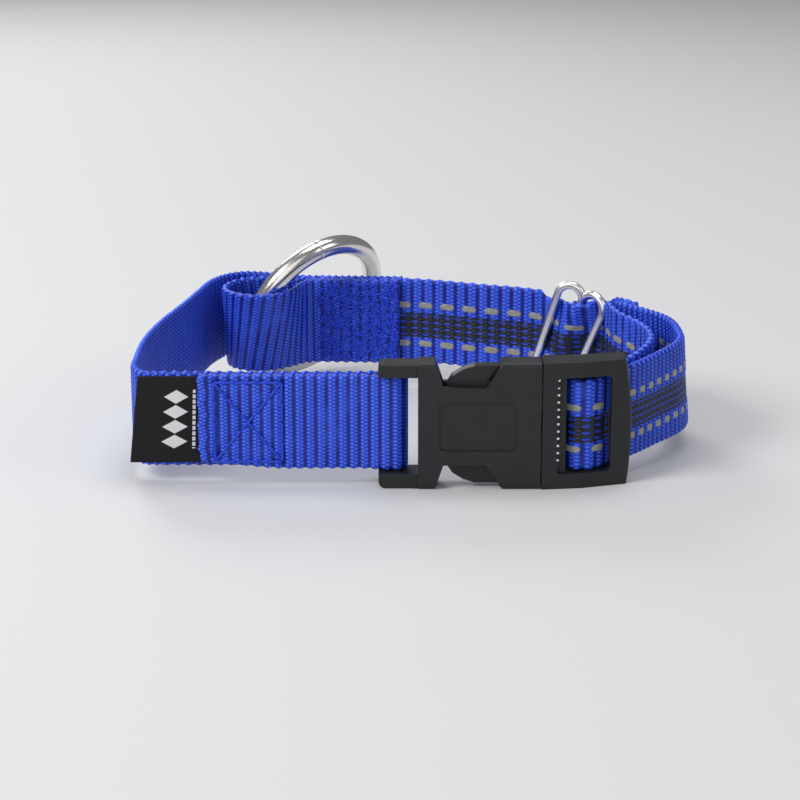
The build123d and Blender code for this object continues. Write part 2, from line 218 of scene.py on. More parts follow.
def plain_face(along, up, side):
    """Height and crest of the one-colour web's face."""
    crest = weave(along + (side < 0) * plain_rib / 2, up, plain_rib, plain_bead)
    return rib_height * crest, crest


def close_face(along, up, side):
    """As plain_face, for the stretch where the weave is closer."""
    crest = weave(along, up, close_rib, close_bead)
    return close_share * rib_height * crest, crest


def dash(along, up):
    """1 on a reflective yarn's float, 0 beside it."""
    along_middle = (along + dash_pitch / 2) % dash_pitch - dash_pitch / 2
    off_line = np.minimum(np.abs(up - dash_lines[0]), np.abs(up - dash_lines[1]))
    spread = (np.abs(along_middle) / dash_half[0]) ** 4 + (off_line / dash_half[1]) ** 2
    return np.clip(1.6 - 1.6 * spread, 0, 1)


def banded_face(along, up, side):
    """Height and crest of the reflective web's face."""
    crest = weave(along, up, banded_rib, banded_bead)
    above = ease(up, dark_band[0] - band_soft, dark_band[0])
    in_band = above * (1 - ease(up, dark_band[1], dark_band[1] + band_soft))
    height = rib_height * crest * (1 - 0.45 * in_band)
    floated = dash(along, up)
    return height * (1 - floated) + float_height * floated, crest


def columns(width):
    """Heights of a web's grid columns: close together round its two edges."""
    rounded = edge_round * (1 - np.cos(np.linspace(0, pi / 2, 4)))[:-1]
    middle = np.linspace(edge_round, width - edge_round, round((width - 2 * edge_round) / column_step) + 1)
    return np.concatenate([rounded, middle, width - rounded[::-1]])


def mesh_object(name, points, faces, material, slot):
    """A smooth-shaded object from points in millimetres and faces."""
    mesh = bpy.data.meshes.new(name)
    mesh.from_pydata(metres(points).tolist(), [], faces)
    mesh.polygons.foreach_set("use_smooth", [True] * len(mesh.polygons))
    mesh.materials.append(material)
    made = bpy.data.objects.new(name, mesh)
    bpy.context.collection.objects.link(made)
    return made


def set_uv(made, uv):
    """Gives each corner its point's place on the weave, in millimetres."""
    mesh = made.data
    corner = np.zeros(len(mesh.loops), int)
    mesh.loops.foreach_get("vertex_index", corner)
    layer = mesh.uv_layers.new(name="Weave")
    layer.data.foreach_set("uv", np.asarray(uv, float)[corner].ravel())


def ring_cells(stations, around):
    """Quads between rings of points, and the two end faces."""
    i = np.arange(stations - 1)[:, None] * around
    k = np.arange(around)[None, :]
    after = (k + 1) % around
    quads = np.stack([i + k, i + after, i + after + around, i + k + around], axis=-1).reshape(-1, 4)
    ends = [list(range(around))[::-1], list(range((stations - 1) * around, stations * around))]
    return quads.tolist() + ends


def clear_of_ring(points):
    """Points pushed out of the room that the leash ring's wire needs."""
    axis = unit(ring_axis)
    offset = points - ring_middle
    rise = offset @ axis
    flat = offset - rise[..., None] * axis
    nearest = ring_middle + unit(flat) * ring_radius
    away = points - nearest
    distance = np.linalg.norm(away, axis=-1, keepdims=True)
    room = ring_wire + ring_spare
    return np.where(distance < room, nearest + away / distance * room, points)


def scalloped(middle, along, up, rib):
    """A middle surface whose two edges bulge at every rib."""
    bulge = edge_bulge * (0.5 + 0.5 * np.cos(2 * pi * (along / rib - 0.25)))
    lower = np.clip(1 - up / bulge_reach, 0, 1) ** 2
    upper = np.clip(1 - (up[-1] - up) / bulge_reach, 0, 1) ** 2
    upward = unit(np.gradient(middle, axis=1))
    return middle + upward * (bulge[:, None] * (upper - lower)[None, :])[..., None]


def web_piece(name, middle, along, up, material, slot, face, rib, thick=core_thick, press=None):
    """A woven strip round its middle surface, an array of (stations, columns, 3) points."""
    middle = scalloped(middle, along, up, rib)
    normal = unit(np.cross(np.gradient(middle, axis=0), np.gradient(middle, axis=1)))
    inside = np.minimum(np.minimum(up, up[-1] - up), edge_round)
    edge = np.sqrt(1 - ((edge_round - inside) / edge_round) ** 2)[None, :]
    s, v = np.meshgrid(along, up, indexing="ij")
    half = np.broadcast_to(np.asarray(thick, float).reshape(-1, 1) / 2, s.shape)
    sides, crests = [], []
    for side in (1, -1):
        height, crest = face(s, v, side)
        if press is not None:
            height, crest = press(s, v, side, height, crest)
        sides.append(middle + side * normal * (edge * (half + height))[..., None])
        crests.append(crest)
    points = np.concatenate([sides[0], sides[1][:, -2:0:-1]], axis=1)
    crest = np.concatenate([crests[0], crests[1][:, -2:0:-1]], axis=1)
    place = np.stack([s, v], axis=-1)
    uv = np.concatenate([place, place[:, -2:0:-1]], axis=1)
    stations, around = points.shape[:2]
    points = clear_of_ring(points).reshape(-1, 3)
    made = mesh_object(name, points, ring_cells(stations, around), material, slot)
    set_uv(made, uv.reshape(-1, 2))
    # The crest is kept to paint light on the yarn: painted shade where it is low, painted highlight where it
    # is high.
    layer = made.data.attributes.new("crest", "FLOAT", "POINT")
    layer.data.foreach_set("value", crest.ravel().astype(np.float32))
    return made


def lower_edge(back):
    """Height of the webs' lower edge: the collar rises a little towards the back."""
    return web_bottom + (rear_bottom - web_bottom) * np.clip((back - rise_start) / rise_run, 0, 1)


def upright(line, up, low):
    """Middle surface of a web that stands on its edge along a plan line."""
    flat = np.repeat(line[:, None, :], len(up), axis=1)
    height = np.broadcast_to(np.asarray(low).reshape(-1, 1) + up[None, :], flat.shape[:2])
    return np.concatenate([flat, height[..., None]], axis=-1)


# ---- shader nodes ----
def node(tree, kind, inputs, **settings):
    """A shader node; inputs are {socket: a value, or the output that feeds it}."""
    made = tree.nodes.new("ShaderNode" + kind)
    for name, value in settings.items():
        setattr(made, name, value)
    for key, value in inputs.items():
        if isinstance(value, bpy.types.NodeSocket):
            tree.links.new(value, made.inputs[key])
        else:
            made.inputs[key].default_value = value
    return made


def calc(tree, operation, a, b=0.0):
    """One arithmetic step."""
    return node(tree, "Math", {0: a, 1: b}, operation=operation).outputs[0]


def times(tree, a, b):
    """The product of two values."""
    return calc(tree, "MULTIPLY", a, b)


def apart(tree, a, b):
    """The distance between two values."""
    return calc(tree, "ABSOLUTE", calc(tree, "SUBTRACT", a, b))


def blended(tree, factor, a, b):
    """Colour a where factor is 0 and b where it is 1."""
    return node(tree, "Mix", {0: factor, 6: a, 7: b}, data_type="RGBA").outputs[2]


def grade(tree, value, low, high, bottom=0.0, top=1.0):
    """A value's range low to high, mapped to bottom to top and held there outside it."""
    return node(tree, "MapRange", {0: value, 1: low, 2: high, 3: bottom, 4: top}).outputs[0]


def noise(tree, vector, scale, detail=2.0):
    """Smooth noise about 0.5."""
    return node(tree, "TexNoise", {"Vector": vector, "Scale": scale, "Detail": detail}).outputs[0]


def bump(tree, height, strength, depth, normal=None):
    """A normal from a height; depth is in millimetres."""
    inputs = {"Height": height, "Strength": strength, "Distance": depth * MM}
    if normal is not None:
        inputs["Normal"] = normal
    return node(tree, "Bump", inputs).outputs[0]


def new_material(name, **shader):
    """A node material with its Principled shader's uniform values set."""
    made = bpy.data.materials.new(name)
    made.use_nodes = True
    principled = made.node_tree.nodes["Principled BSDF"]
    for key, value in shader.items():
        principled.inputs[key.replace("_", " ")].default_value = value
    return made, made.node_tree, principled


def weave_place(tree):
    """Distances along and up the web, in millimetres, and the crest value."""
    place = node(tree, "UVMap", {}, uv_map="Weave").outputs[0]
    split = node(tree, "SeparateXYZ", {0: place})
    crest = node(tree, "Attribute", {}, attribute_name="crest").outputs["Fac"]
    return split.outputs[0], split.outputs[1], crest


def object_place(tree):
    """Place in the model, in metres."""
    return node(tree, "TexCoord", {}).outputs["Object"]


def beads(tree, along, up, pitch, bead):
    """The lattice of yarn beads: two columns to a rib, one set half a bead above the other."""
    halves = calc(tree, "ADD", times(tree, along, 2 / pitch), 0.5)
    column = wrap_node(tree, halves, 1.0)
    odd = wrap_node(tree, calc(tree, "FLOOR", halves), 2.0)
    place = calc(tree, "ADD", times(tree, up, 1 / bead), times(tree, odd, 0.5))
    upward = calc(tree, "COSINE", times(tree, place, 2 * pi))
    upward = grade(tree, upward, -1.0, 0.5, 0.3, 1.0)
    across = calc(tree, "SINE", times(tree, column, pi))
    across = grade(tree, across, 0.0, 0.8, 0.62, 1.0)
    turn = times(tree, calc(tree, "SUBTRACT", along, pitch / 4), 2 * pi / pitch)
    rib = grade(tree, calc(tree, "COSINE", turn), -1.0, 0.0, 0.0, 1.0)
    return times(tree, times(tree, upward, across), rib)


def blue_yarn(tree, along, up, crest):
    """Royal blue filament yarn, with painted shade where it goes down between the ribs and a painted
    highlight on the bead tops.
    """
    places = {0: times(tree, along, 1.1), 1: times(tree, up, 7.0)}
    streak = node(tree, "CombineXYZ", places)
    filament = noise(tree, streak.outputs[0], 1.0, 3.0)
    patchy = noise(tree, object_place(tree), 180.0, 3.0)
    lit = calc(tree, "ADD", crest, times(tree, calc(tree, "SUBTRACT", filament, 0.5), 0.35))
    # Painted light: the darkest blue is painted shade in the valleys, the lightest blue a painted highlight
    # on the bead tops.
    painted_shade_ramp = blended(tree, grade(tree, lit, 0.0, 0.45), (0.003, 0.010, 0.17, 1), (0.015, 0.046, 0.58, 1))
    colour = blended(tree, grade(tree, lit, 0.4, 0.9), painted_shade_ramp, (0.052, 0.155, 0.98, 1))
    worn = blended(tree, grade(tree, patchy, 0.5, 0.75, 0.0, 0.3), colour, (0.05, 0.14, 0.95, 1))
    return worn, filament


def finish_weave(tree, shader, colour, lattice, filament, roughness):
    """Connects a woven colour, its bead and filament bump and its varied gloss."""
    tree.links.new(colour, shader.inputs["Base Color"])
    raised = bump(tree, lattice, 0.9, 0.22)
    tree.links.new(bump(tree, filament, 0.4, 0.05, raised), shader.inputs["Normal"])
    varied = grade(tree, filament, 0.3, 0.7, roughness - 0.08, roughness + 0.12)
    tree.links.new(varied, shader.inputs["Roughness"])


def lit_by(tree, lattice, crest):
    """How light the yarn is painted: the bead lattice as a painted highlight on the bead tops, dulled with
    painted shade where the crest is low, in the valleys and where the surface is pressed in.
    """
    return times(tree, lattice, grade(tree, crest, 0.0, 0.5, 0.35, 1.0))


def plain_web_material(name, rib, bead):
    """One-colour nylon webbing."""
    made, tree, shader = new_material(name, Specular_IOR_Level=0.35, Sheen_Weight=0.03, Sheen_Roughness=0.4)
    along, up, crest = weave_place(tree)
    lattice = beads(tree, along, up, rib, bead)
    colour, filament = blue_yarn(tree, along, up, lit_by(tree, lattice, crest))
    finish_weave(tree, shader, colour, lattice, filament, 0.42)
    return made


def wrap_node(tree, value, pitch):
    """A value's remainder on division by pitch, never negative."""
    return node(tree, "Math", {0: value, 1: pitch}, operation="FLOORED_MODULO").outputs[0]


def oval(tree, along, up, half, power):
    """1 inside a rounded spot of the given half sizes, with a narrow soft edge."""
    across = calc(tree, "POWER", calc(tree, "DIVIDE", along, half[0]), power)
    upward = calc(tree, "POWER", calc(tree, "DIVIDE", up, half[1]), 2.0)
    return grade(tree, calc(tree, "ADD", across, upward), 1.15, 0.85)


def near_multiple(tree, value, pitch, offset=0.0):
    """Distance from a value to the nearest of offset, offset + pitch, and so on."""
    shifted = calc(tree, "ADD", value, pitch / 2 - offset)
    return apart(tree, wrap_node(tree, shifted, pitch), pitch / 2)


def between(tree, value, low, high, soft=0.12):
    """1 where a value lies from low to high."""
    above = grade(tree, value, low - soft, low + soft)
    return times(tree, above, grade(tree, value, high + soft, high - soft))


def banded_web_material():
    """Blue webbing with a dark centre band and two lines of reflective yarn."""
    made, tree, shader = new_material(
        "banded_web", Specular_IOR_Level=0.35, Sheen_Weight=0.03, Sheen_Roughness=0.4
    )
    along, up, crest = weave_place(tree)
    lattice = beads(tree, along, up, banded_rib, banded_bead)
    blue, filament = blue_yarn(tree, along, up, lit_by(tree, lattice, crest))
    row_pitch = (dark_band[1] - dark_band[0]) / 4
    dot_along = near_multiple(tree, along, banded_rib)
    dot_up = near_multiple(tree, up, row_pitch, dark_band[0] + row_pitch / 2)
    dots = oval(tree, dot_along, dot_up, (0.8, 0.3), 2.0)
    # The dark band is painted lighter on the bead tops, as painted highlight, and darker between them, as
    # painted shade.
    dark = blended(tree, lattice, (0.004, 0.006, 0.016, 1), (0.020, 0.028, 0.055, 1))
    band = blended(tree, times(tree, dots, 0.85), dark, (0.018, 0.056, 0.60, 1))
    in_band = between(tree, up, *dark_band)
    ground = blended(tree, in_band, blue, band)
    dash_along = near_multiple(tree, along, dash_pitch)
    dash_up = calc(tree, "MINIMUM", apart(tree, up, dash_lines[0]), apart(tree, up, dash_lines[1]))
    floated = oval(tree, dash_along, dash_up, dash_half, 4.0)
    drawn_out = node(tree, "CombineXYZ", {0: along, 1: times(tree, up, 9.0)})
    strand = noise(tree, drawn_out.outputs[0], 1.0)
    silver = blended(tree, grade(tree, strand, 0.35, 0.65), (0.20, 0.20, 0.18, 1), (0.40, 0.395, 0.35, 1))
    flat = times(tree, lattice, calc(tree, "SUBTRACT", 1.0, floated))
    finish_weave(tree, shader, blended(tree, floated, ground, silver), flat, filament, 0.44)
    return made


def thread_material():
    """Blue sewing thread with a twist, painted lighter on the twist's ridges as painted highlight and darker
    in its grooves as painted shade.
    """
    made, tree, shader = new_material("sewing_thread", Specular_IOR_Level=0.3, Roughness=0.5)
    place = node(tree, "UVMap", {}, uv_map="Weave").outputs[0]
    wave = {"Vector": place, "Scale": 1.6, "Distortion": 0.4}
    twist = node(tree, "TexWave", wave, bands_direction="DIAGONAL")
    # Painted light: lighter blue on the twist's ridges, darker blue in its grooves.
    colour = blended(tree, twist.outputs["Fac"], (0.010, 0.030, 0.42, 1), (0.030, 0.09, 0.80, 1))
    tree.links.new(colour, shader.inputs["Base Color"])
    tree.links.new(bump(tree, twist.outputs["Fac"], 0.6, 0.05), shader.inputs["Normal"])
    return made


def label_material():
    """Black woven label with a plain white geometric motif."""
    made, tree, shader = new_material("woven_label", Specular_IOR_Level=0.2, Sheen_Weight=0.02)
    place = node(tree, "UVMap", {}, uv_map="Weave").outputs[0]
    split = node(tree, "SeparateXYZ", {0: place})
    along, up = split.outputs[0], split.outputs[1]
    warp = near_multiple(tree, up, 0.34)
    weft = near_multiple(tree, along, 0.26)
    cloth = calc(tree, "ADD", times(tree, warp, 3.0), times(tree, weft, 2.0))
    patchy = noise(tree, object_place(tree), 900.0, 3.0)
    black = blended(tree, grade(tree, cloth, 0.0, 0.8), (0.014, 0.014, 0.016, 1), (0.004, 0.004, 0.005, 1))
    dusty = blended(tree, grade(tree, patchy, 0.5, 0.8, 0.0, 0.5), black, (0.022, 0.022, 0.024, 1))
    diamond_pitch = 3.1
    off_middle = apart(tree, along, 8.3)
    off_row = near_multiple(tree, up, diamond_pitch, 9.0 + diamond_pitch / 2)
    slant = calc(tree, "ADD", calc(tree, "DIVIDE", off_middle, 2.5), calc(tree, "DIVIDE", off_row, 1.42))
    diamonds = times(tree, grade(tree, slant, 1.04, 0.96), between(tree, up, 2.8, 15.2, 0.02))
    bar = times(tree, between(tree, along, 11.75, 12.35, 0.05), between(tree, up, 2.9, 15.1, 0.05))
    gaps = grade(tree, near_multiple(tree, up, 1.1), 0.12, 0.2)
    motif = calc(tree, "MAXIMUM", diamonds, times(tree, bar, gaps))
    white = blended(tree, grade(tree, cloth, 0.0, 0.9), (0.82, 0.82, 0.81, 1), (0.5, 0.5, 0.5, 1))
    tree.links.new(blended(tree, motif, dusty, white), shader.inputs["Base Color"])
    tree.links.new(bump(tree, cloth, 0.7, 0.08), shader.inputs["Normal"])
    tree.links.new(grade(tree, patchy, 0.3, 0.7, 0.6, 0.8), shader.inputs["Roughness"])
    return made


def metal_material(name, colour, roughness):
    """Polished nickel with faint drawing lines and handling marks."""
    made, tree, shader = new_material(name, Metallic=1.0)
    place = object_place(tree)
    fine = noise(tree, place, 2200.0, 2.0)
    cloudy = noise(tree, place, 160.0, 4.0)
    dull = [c * 0.82 for c in colour]
    tone = blended(tree, grade(tree, cloudy, 0.35, 0.7, 0.0, 0.6), (*colour, 1), (*dull, 1))
    tree.links.new(tone, shader.inputs["Base Color"])
    tree.links.new(grade(tree, cloudy, 0.3, 0.75, roughness, roughness + 0.14), shader.inputs["Roughness"])
    tree.links.new(bump(tree, fine, 0.12, 0.02), shader.inputs["Normal"])
    return made


def plastic_material():
    """Satin black moulded plastic: fine grain, and lighter rubbed patches."""
    made, tree, shader = new_material("moulded_plastic", Specular_IOR_Level=0.38)
    place = object_place(tree)
    grain = noise(tree, place, 3800.0, 3.0)
    cloudy = noise(tree, place, 220.0, 5.0)
    scuffs = noise(tree, node(tree, "Mapping", {0: place, 3: (1.0, 1.0, 5.0)}).outputs[0], 700.0, 4.0)
    worn = grade(tree, cloudy, 0.35, 0.7)
    tone = blended(tree, worn, (0.010, 0.011, 0.0125, 1), (0.0145, 0.0155, 0.017, 1))
    rubbed = blended(tree, grade(tree, scuffs, 0.64, 0.78, 0.0, 0.5), tone, (0.03, 0.032, 0.034, 1))
    tree.links.new(rubbed, shader.inputs["Base Color"])
    tree.links.new(grade(tree, cloudy, 0.3, 0.7, 0.36, 0.5), shader.inputs["Roughness"])
    tree.links.new(bump(tree, grain, 0.25, 0.03), shader.inputs["Normal"])
    return made


plain_web = plain_web_material("plain_web", plain_rib, plain_bead)
close_web = plain_web_material("close_web", close_rib, close_bead)
banded_web = banded_web_material()
sewing_thread = thread_material()
woven_label = label_material()
ring_nickel = metal_material("ring_nickel", (0.86, 0.83, 0.79), 0.13)
slide_nickel = metal_material("slide_nickel", (0.95, 0.93, 0.90), 0.24)
moulded_plastic = plastic_material()

# ---- control section: one plain web ----
fold_end = -40.0
front_fold_back = web_thick / 2
front_web_back = 3.0
fold_straight = -8.0
turn_start = -50.0
wrap_front = (female_bar[0], female_bar[1] - wrap_radius)
wrap_rear = (female_bar[0], female_bar[1] + wrap_radius)
left_route = [
    (turn_start, front_web_back),
    (-52.8, 5.4),
    (-53.7, 12.0),
    (-53.6, 20.0),
    (-51.9, 34.2),
    (-47.4, 51.2),
    (-43.9, 65.5),
    (-41.0, 73.6),
    (-36.0, 77.8),
    (-30.0, 76.6),
    (patch_left, patch_back(patch_left, 0)),
]
patch_end = (patch_right + 0.6, patch_back(patch_right + 0.6, 0))
control_line = join(
    [
        straight((fold_end, front_fold_back), (fold_straight, front_fold_back)),
        smooth([(fold_straight, front_fold_back), wrap_front], (1, 0), (1, 0)),
        arc(female_bar, wrap_radius, -90, 90),
        smooth([wrap_rear, (fold_straight, front_web_back)], (-1, 0), (-1, 0)),
        straight((fold_straight, front_web_back), (turn_start, front_web_back)),
        smooth(left_route, (-1, 0), (1, patch_slope)),
        straight(left_route[-1], patch_end),
    ]
)

box_low = (-37.0, web_mid - 8.2)
box_high = (-23.5, web_mid + 8.2)
box_corners = [box_low, (box_high[0], box_low[1]), box_high, (box_low[0], box_high[1])]
box_seams = [(box_corners[k], box_corners[(k + 1) % 4]) for k in range(4)]
box_seams += [(box_corners[0], box_corners[2]), (box_corners[1], box_corners[3])]


def off_seam(across, up, start, end):
    """Distance of each point of a flat face from a seam."""
    start, run = np.array(start), np.subtract(end, start)
    t = np.clip(((across - start[0]) * run[0] + (up - start[1]) * run[1]) / (run @ run), 0, 1)
    return np.hypot(across - start[0] - t * run[0], up - start[1] - t * run[1])


def fold_press(s, v, side, height, crest):
    """The folded end is melted where it was cut, and the box stitch pulls it in; along the stitch lines the
    crest is lowered as painted shade in the grooves, and at the cut it is lowered too.
    """
    cut = 1 - ease(s, 0.0, 0.9)
    height = height * (1 - cut) + 0.1 * cut
    if side > 0:
        for start, end in box_seams:
            off = off_seam(s + fold_end, v + web_bottom, start, end)
            pulled = np.exp(-((off / 0.8) ** 2)) * (s < box_high[0] - fold_end + 1.5)
            height = height - 0.22 * pulled
            # Lowering the crest here paints shade into the stitch groove.
            crest = crest * (1 - 0.3 * pulled)
    return height, crest * (1 - 0.5 * cut)


def stretch_of(line, start, end, step=station_step):
    """Even distances along part of a line, and the points there."""
    distances = np.linspace(start, end, max(2, int((end - start) / step)))
    return distances, along_line(line, distances)


web_columns = columns(web_width)
corner_rise = 1.3  # the folded end's lower corner is drawn up this much
control_length = lengths(control_line)[-1]
behind_label = 92.0  # distance along the web where the label hides it


def ragged(up):
    """How far a cut and melted end strays from straight, up the web."""
    return 0.28 * np.sin(up * 1.3 + 0.5) + 0.16 * np.sin(up * 3.7) + 0.1 * np.sin(up * 8.1 + 1.0)


ring_pass = -32.5  # across, where the swinging ring comes under the webs
ring_pass_half = 5.0
ring_room = 3.9
ring_room_start = 70.0  # how far back the room starts, and over what run it opens
ring_room_run = 4.0


def over_ring(middle, up):
    """The webs' lower edges ride up a little where the ring swings under them."""
    near = np.exp(-(((middle[..., 0] - ring_pass) / ring_pass_half) ** 2))
    behind = np.clip((middle[..., 1] - ring_room_start) / ring_room_run, 0, 1)
    middle[..., 2] += ring_room * near * behind * (1 - up / web_width)[None, :]
    return middle


def control_piece(name, start, end, material, face, rib, *nodes):
    """One stretch of the plain control web."""
    distances, line = stretch_of(control_line, start, end)
    middle = upright(line, web_columns, lower_edge(line[:, 1]))
    near_end = 1 - ease(distances, 0.0, 3.0)
    middle[..., 0] += near_end[:, None] * ragged(web_columns)[None, :]
    corner = 1 - ease(distances, 0.0, 17.0)
    middle[..., 2] += corner_rise * corner[:, None] * (1 - web_columns / web_width)[None, :]
    middle = over_ring(middle, web_columns)
    made = web_piece(name, middle, distances, web_columns, material, "plain_web", face, rib, press=fold_press)
    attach(made, "band")
    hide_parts(*nodes)


control_piece(
    "control_web_front",
    0.0,
    behind_label,
    plain_web,
    plain_face,
    plain_rib,
    "front_fold",
    "front_web",
)
control_piece(
    "control_web_side",
    behind_label,
    control_length,
    close_web,
    close_face,
    close_rib,
    "left_web",
    "patch_back_web",
)

# ---- sewn keeper: a return layer, an open eye that leans with the ring, and the front patch layer ----
return_end = -10.2
patch_start_front = (patch_left, patch_back(patch_left, 2))
patch_start_return = (patch_left, patch_back(patch_left, 1))
eye_low = [(-25.6, 65.6), (-33.6, 62.4), (-38.6, 67.0), (-36.0, 74.6), (-27.5, 74.0)]
eye_high = [(-24.4, 59.8), (-31.2, 54.8), (-38.8, 60.4), (-36.4, 70.2), (-28.2, 73.0)]


def keeper_line(eye):
    """The keeper's plan line at one height: return layer, eye, front layer."""
    turn = smooth([patch_start_return, *reversed(eye), patch_start_front], (-1, 0.05), (1, -0.05))
    back = straight((return_end, patch_back(return_end, 1)), patch_start_return)
    front = straight(patch_start_front, (patch_right, patch_back(patch_right, 2)))
    return back, turn, front


keeper_parts = []
for low_part, high_part in zip(keeper_line(eye_low), keeper_line(eye_high)):
    count = int(max(lengths(low_part)[-1], lengths(high_part)[-1]) / station_step)
    pair = [along_line(part, np.linspace(0, lengths(part)[-1], count)) for part in (low_part, high_part)]
    keeper_parts.append(pair)
keeper_foot = join([pair[0] for pair in keeper_parts])
keeper_head = join([pair[1] for pair in keeper_parts])
keeper_along = lengths((keeper_foot + keeper_head) / 2)
patch_run = patch_right - patch_left


def keeper_press(s, v, side, height, crest):
    """The patch is sewn flat and its cut end is melted; on the patch and at the cut the crest is lowered,
    which darkens the yarn's painted light there.
    """
    on_patch = ease(s, keeper_along[-1] - patch_run - 0.5, keeper_along[-1] - patch_run + 1.5)
    cut = ease(s, keeper_along[-1] - 0.8, keeper_along[-1])
    sewn = 1 - 0.6 * on_patch
    return height * sewn * (1 - cut) - 0.12 * cut, crest * (1 - 0.35 * on_patch) * (1 - 0.5 * cut)


share = web_columns / web_width
foot_part = keeper_foot[:, None, :] * (1 - share)[None, :, None]
keeper_flat = foot_part + keeper_head[:, None, :] * share[None, :, None]
keeper_rise = np.broadcast_to(rear_bottom + web_columns, keeper_flat.shape[:2])[..., None]
keeper = web_piece(
    "keeper_web",
    over_ring(np.concatenate([keeper_flat, keeper_rise], axis=-1), web_columns),
    keeper_along,
    web_columns,
    plain_web,
    "plain_web",
    plain_face,
    plain_rib,
    press=keeper_press,
)
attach(keeper, "band")
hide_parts("keeper_return", "keeper_front", "ring_eye")

# ---- neck section: one reflective web, through the slide, round the male bar and back to the slide ----
run_end = 7.5
behind_bars = 1.45
bar_front = -0.25  # the folded end's middle, in front of the middle bar
bar_rear = 2.65
crest_out = -1.75
fold_out = 2.95
tail_out = 4.45
level = tuple(band_dir)
back_level = tuple(-band_dir)
band_start = (return_end + 0.6, patch_back(return_end + 0.6, 1))
band_joint = (patch_right, patch_back(patch_right, 1))
inner_apex = (52.7, 29.0)
outer_apex = (58.9, 29.0)
outer_wrap_start = (46.8, 8.6)
inner_wrap_end = (45.2, 11.4)
wrap_route = [
    inner_wrap_end,
    (40.4, 6.9),
    (35.6, 3.9),
    (33.4, 1.6),
    (35.9, -0.4),
    (38.9, 0.9),
    (41.9, 4.2),
    outer_wrap_start,
]
inner_lead = [(46.6, 46.8), (50.6, 38.0)]
outer_lead = [(57.2, 41.0), (51.6, 48.4)]
tail_route = [(49.4, 53.8), (52.0, 50.9)]
bar_side = slide_set_back - bar_front

neck_stretches = {
    "neck_band": [
        straight(band_start, band_joint),
        smooth([band_joint, (18.0, 65.4), by_slide(-run_end, behind_bars)], (1, patch_slope), level),
    ],
    "slide_run": [straight(by_slide(-run_end, behind_bars), by_slide(run_end, behind_bars))],
    "inner_loop_back": [smooth([by_slide(run_end, behind_bars), *inner_lead, inner_apex], level, (0, -1))],
    "inner_loop_front": [smooth([inner_apex, (50.0, 19.0), inner_wrap_end], (0, -1), (-1, -1.1))],
    "male_bar_wrap": [smooth(wrap_route, (-1, -1.1), (1, 1))],
    "outer_loop_front": [smooth([outer_wrap_start, (53.6, 17.2), outer_apex], (1, 1), (0, 1))],
    "outer_loop_back": [smooth([outer_apex, *outer_lead, by_slide(run_end, fold_out)], (0, 1), back_level)],
    "end_fold": [
        straight(by_slide(run_end, fold_out), by_slide(bar_gap, fold_out)),
        smooth([by_slide(bar_gap, fold_out), by_slide(0, bar_front)], back_level, back_level),
        smooth(
            [by_slide(0, bar_front), by_slide(-bar_side, slide_set_back), by_slide(0, bar_rear)],
            back_level,
            level,
        ),
        smooth([by_slide(0, bar_rear), by_slide(bar_gap, tail_out)], level, level),
        straight(by_slide(bar_gap, tail_out), by_slide(run_end, tail_out)),
    ],
    "band_tail": [smooth([by_slide(run_end, tail_out), *tail_route], level, (1, -1.2))],
}
first_pass = ("neck_band", "slide_run", "inner_loop_back")
second_pass = ("outer_loop_back", "end_fold", "band_tail")
neck_stands_for = {
    "neck_band": "neck_band",
    "slide_run": "band_slide_run",
    "inner_loop_back": "inner_loop_back",
    "inner_loop_front": "inner_loop_front",
    "male_bar_wrap": "male_bar_wrap",
    "outer_loop_front": "outer_loop_front",
    "outer_loop_back": "outer_loop_back",
    "end_fold": "band_end_fold",
    "band_tail": "band_tail",
}
squeezed_share = 0.14  # the slide's bars gather this much of the width
squeezed_core = 0.82
wrap_share = 0.045  # and the male bar's slot gathers this much
wrap_drop = 0.35
outer_tightness = 1.7  # the outer loop shows the closer side of the weave
outer_splay = 1.5  # its lower edge stands out this much further at the bend
squeezed_rise = 0.2  # the gathered web's middle is this far above the slide's
rear_webs = (*first_pass, *second_pass)


def at_slide(points):
    """Distances along the band and outward from the slide's middle, for plan points."""
    offset = points - slide_middle
    return offset @ band_dir, offset @ out_dir


def neck_middle(name, line, up):
    """Middle surface of a stretch of the neck web, shaped by the slide where it passes through it."""
    along, _ = at_slide(line)
    squeeze = np.zeros(len(line))
    if name in rear_webs:
        squeeze = 1 - ease(np.abs(along), 4.5, 7.4)
    low = lower_edge(line[:, 1])
    lift = (slide_height + squeezed_rise - low - web_width / 2) * squeeze
    wrapped = np.zeros(len(line))
    if name.endswith("front") or name == "male_bar_wrap":
        wrapped = 1 - ease(line[:, 0], 40.0, 46.0)
    lift = lift - wrap_drop * wrapped
    gather = 1 - squeezed_share * squeeze - wrap_share * wrapped
    middle = upright(line, up, 0.0)
    rise = (low + lift + web_width / 2)[:, None] + (up - web_width / 2)[None, :] * gather[:, None]
    middle[..., 2] = rise
    if name.startswith("outer_loop"):
        splay = outer_splay * ease(line[:, 0], 50.0, 58.5)[:, None] * (1 - up / web_width)[None, :]
        middle[..., 0] += splay
    leaned = bar_lean * (rise - slide_height)
    if name in first_pass:
        wave = 1 - ease(np.abs(along[:, None] - leaned), 0.0, bar_gap)
        middle[..., :2] += (crest_out - behind_bars) * wave[..., None] * out_dir
    if name in second_pass:
        share = 1 - ease(along, bar_gap, 13.0)
        middle[..., :2] += (leaned * share[:, None])[..., None] * band_dir
    thick = core_thick + (squeezed_core - core_thick) * squeeze
    return middle, thick


def tail_press(s, v, side, height, crest):
    """The band's cut end is melted; there the crest is lowered, which darkens the yarn's painted light."""
    cut = ease(s, neck_length - 0.8, neck_length)
    return height * (1 - cut), crest * (1 - 0.5 * cut)


